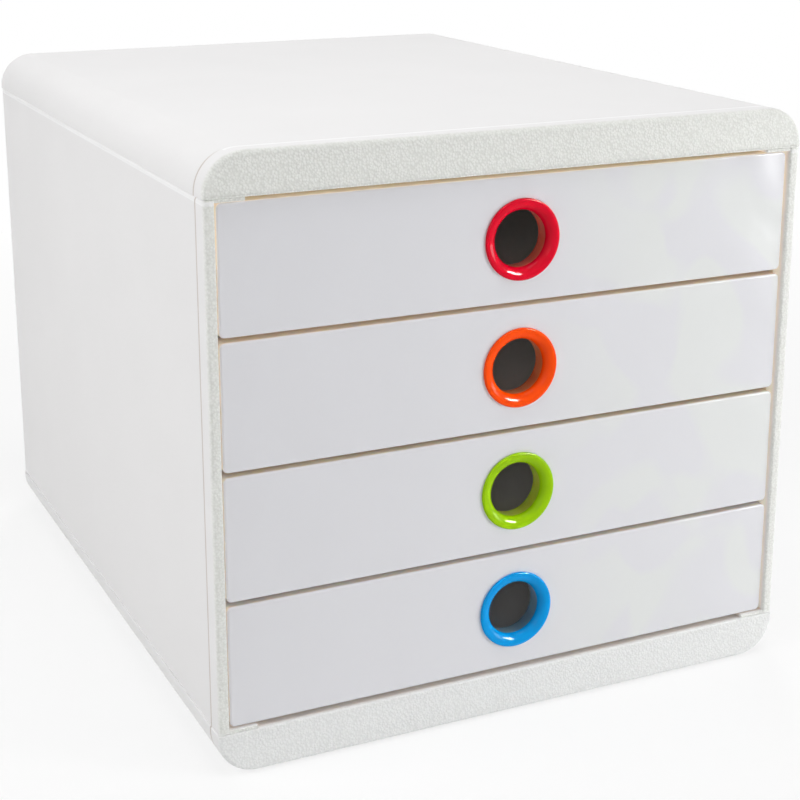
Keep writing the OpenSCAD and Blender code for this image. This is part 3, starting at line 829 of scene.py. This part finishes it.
combine(cover, "DIFFERENCE", loft([[(r * math.cos(a), y, hole_z + r * math.sin(a)) for a in circle]
                                   for y, r in throat]))
combine(cover, "DIFFERENCE", bar(0, hole_z, face_y - overshoot, face_y + seat_depth, seat_r))
for k in range(1, drawer_count + 1):
    piece = dress(copy_for_drawer(cover, "front_cover", k), front_plastic)
    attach(piece, f"drawer_{k}")
    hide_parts(f"drawer_front_{k}")
bpy.data.objects.remove(cover)

# ---- Finger rings ----
# Flared rings in self-coloured glossy plastic, pressed into the drawer fronts from outside. Each has a
# rounded outer edge, a face that turns into the throat like a trumpet, and a short hub in its seat.

ring_r = 17.5 * mm
ring_proud = 1.2 * mm
ring_depth = 2.2 * mm
ring_edge_r = 0.8 * mm
ring_fit = 0.1 * mm
undercut = 0.35 * mm
hub_r = seat_r - ring_fit
throat_r = hole_r - ring_fit
flare_start = ring_r - ring_edge_r
edge_steps = 8
flare_steps = 24
profile = [(hub_r, ring_depth), (hub_r, 0), (ring_r - undercut, 0), (ring_r, -undercut)]
for i in range(edge_steps + 1):
    angle = math.radians(90 * i / edge_steps)
    profile.append((flare_start + ring_edge_r * math.cos(angle),
                    ring_edge_r * (1 - math.sin(angle)) - ring_proud))
for i in range(1, flare_steps + 1):
    angle = math.radians(90 * i / flare_steps)
    profile.append((flare_start - (flare_start - throat_r) * math.sin(angle),
                    (ring_proud + ring_depth) * (1 - math.cos(angle)) - ring_proud))

flow_size = 7 * mm
flow_height = 0.1 * mm
flow_dark = 0.85
ring_group = bpy.data.collections.new("rings")
ring_colours = {"ring_red": "#E00028", "ring_orange": "#FF4E00",
                "ring_green": "#9CCC00", "ring_blue": "#009AE4"}
for k, (slot, colour) in enumerate(ring_colours.items(), start=1):
    # Self-coloured ABS from a polished mould: deep colour under a clear hard gloss, with sharp highlights.
    # Its specular level is low, so that a white room leaves the colour its depth.
    gloss = bpy.data.materials.new("glossy_abs_" + slot.split("_")[1])
    gloss.use_nodes = True
    tree = gloss.node_tree
    place = add(tree, "ShaderNodeTexCoord").outputs["Object"]
    flow = add(tree, "ShaderNodeTexNoise", {"Vector": place, "Scale": 1 / flow_size, "Detail": 2.0})
    deep = [c * flow_dark for c in linear(colour)[:3]] + [1.0]
    shade = add(tree, "ShaderNodeMix", {
        "Factor": flow.outputs["Fac"], "A": deep, "B": linear(colour)}, data_type="RGBA")
    ripple = add(tree, "ShaderNodeBump", {
        "Strength": 0.1, "Distance": flow_height, "Height": flow.outputs["Fac"]})
    shader = tree.nodes["Principled BSDF"]
    shader.inputs["Roughness"].default_value = 0.06
    shader.inputs["IOR"].default_value = 1.53
    shader.inputs["Specular IOR Level"].default_value = 0.1
    tree.links.new(shade.outputs["Result"], shader.inputs["Base Color"])
    tree.links.new(ripple.outputs["Normal"], shader.inputs["Normal"])
    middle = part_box(f"drawer_front_{k}")[0].z + hole_z
    ring = turn(f"flared_{slot}", profile, gloss, (0, face_y, middle), tilt=90)
    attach(ring, f"drawer_{k}")
    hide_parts(f"finger_ring_{k}")
    ring_group.objects.link(ring)

# ---- Floor, lamps and camera ----
# A pale matt floor under soft studio light: large softboxes on the left, overhead and high behind, smaller
# ones in front and on the right, and an even white surround. A snoot lights the rings' gloss alone.


def seen_as_white(tree):
    """1 for rays from the camera and those that gloss or glass sends on, and 0 for light on a surface."""
    rays = add(tree, "ShaderNodeLightPath").outputs
    seen = rays["Is Camera Ray"]
    for ray in ("Is Glossy Ray", "Is Transmission Ray"):
        seen = add(tree, "ShaderNodeMath", {0: seen, 1: rays[ray]}, operation="MAXIMUM").outputs[0]
    return seen


scene = bpy.context.scene
floor_size = 30.0
# the floor is lit plainly near the object, where its shadow lies, and fades to plain white around it
fade_start, fade_end = 0.2, 0.9
floor_mesh = bpy.data.meshes.new("floor")
corners = [(-floor_size, -floor_size, 0), (floor_size, -floor_size, 0), (floor_size, floor_size, 0),
           (-floor_size, floor_size, 0)]
floor_mesh.from_pydata(corners, [], [(0, 1, 2, 3)])
floor = bpy.data.objects.new("floor", floor_mesh)
scene.collection.objects.link(floor)
floor_paint = bpy.data.materials.new("matt_white_paint")
floor_paint.use_nodes = True
tree = floor_paint.node_tree
place = add(tree, "ShaderNodeTexCoord").outputs["Object"]
away = add(tree, "ShaderNodeVectorMath", {0: place}, operation="LENGTH")
fade = add(tree, "ShaderNodeMapRange", {
    "Value": away.outputs["Value"], "From Min": fade_start, "From Max": fade_end, "To Min": 0.75,
    "To Max": 1.0})
whitened = add(tree, "ShaderNodeMath", {
    0: seen_as_white(tree), 1: fade.outputs["Result"]}, operation="MULTIPLY")
shader = tree.nodes["Principled BSDF"]
shader.inputs["Base Color"].default_value = linear("#F6F6F6")
shader.inputs["Roughness"].default_value = 0.9
plain_white = add(tree, "ShaderNodeEmission", {"Color": (1, 1, 1, 1), "Strength": 1.0})
blend = add(tree, "ShaderNodeMixShader", {
    "Fac": whitened.outputs[0], 1: shader.outputs["BSDF"], 2: plain_white.outputs["Emission"]})
tree.links.new(blend.outputs["Shader"], tree.nodes["Material Output"].inputs["Surface"])
floor_mesh.materials.append(floor_paint)

world = bpy.data.worlds.new("surround")
world.use_nodes = True
scene.world = world
tree = world.node_tree
strength = add(tree, "ShaderNodeMapRange", {"Value": seen_as_white(tree), "To Min": 0.04, "To Max": 1.0})
background = tree.nodes["Background"]
background.inputs["Color"].default_value = (1, 1, 1, 1)
tree.links.new(strength.outputs["Result"], background.inputs["Strength"])


def softbox(name, place, target, width, height, power):
    """A rectangular area lamp aimed at a point."""
    lamp = bpy.data.lights.new(name, "AREA")
    lamp.shape = "RECTANGLE"
    lamp.size = width
    lamp.size_y = height
    lamp.energy = power
    holder = bpy.data.objects.new(name, lamp)
    scene.collection.objects.link(holder)
    holder.location = place
    aim = Vector(target) - Vector(place)
    holder.rotation_euler = aim.to_track_quat("-Z", "Y").to_euler()
    return holder


softbox("left_softbox", (-1.1, -0.06, 0.78), (0, 0, 0.13), 0.6, 0.6, 7.3)
softbox("overhead_softbox", (-0.1, -0.45, 1.65), (0, -0.05, 0.13), 0.8, 0.5, 8.5)
softbox("right_front_softbox", (0.85, -0.95, 0.63), (0, -0.1, 0.13), 0.2, 0.2, 4.5)
softbox("high_rear_softbox", (0.45, 0.8, 1.35), (0, 0, 0.13), 0.5, 0.5, 6.6)
softbox("low_right_softbox", (0.75, -0.6, 0.1), (0, -0.15, 0.04), 0.4, 0.15, 1.85)
softbox("front_softbox", (-0.506, -1.066, 0.475), (0, -0.17, 0.13), 0.28, 0.28, 0.9)

# The snoot draws the curved highlight at the bottom of each ring. It is strong and far away, so that all
# four highlights sit alike, and it reaches nothing but the rings, and only their gloss.
snoot = softbox("ring_softbox", (2.22, -2.39, 1.44), (0, -0.17, 0.13), 1.4, 0.9, 380.0)
snoot.visible_diffuse = False
snoot.light_linking.receiver_collection = ring_group

camera_place = (-337.48 * mm, -767.25 * mm, 371.85 * mm)
camera_yaw = 25.2
camera_pitch = -15.08
camera_lens = 76.33
camera_shift = -0.12
camera_data = bpy.data.cameras.new("camera")
camera_data.sensor_width = 36
camera_data.lens = camera_lens
camera_data.shift_y = camera_shift
camera = bpy.data.objects.new("camera", camera_data)
scene.collection.objects.link(camera)
camera.location = camera_place
camera.rotation_euler = (math.radians(90 + camera_pitch), 0, math.radians(-camera_yaw))
scene.camera = camera
scene.view_settings.view_transform = "Standard"
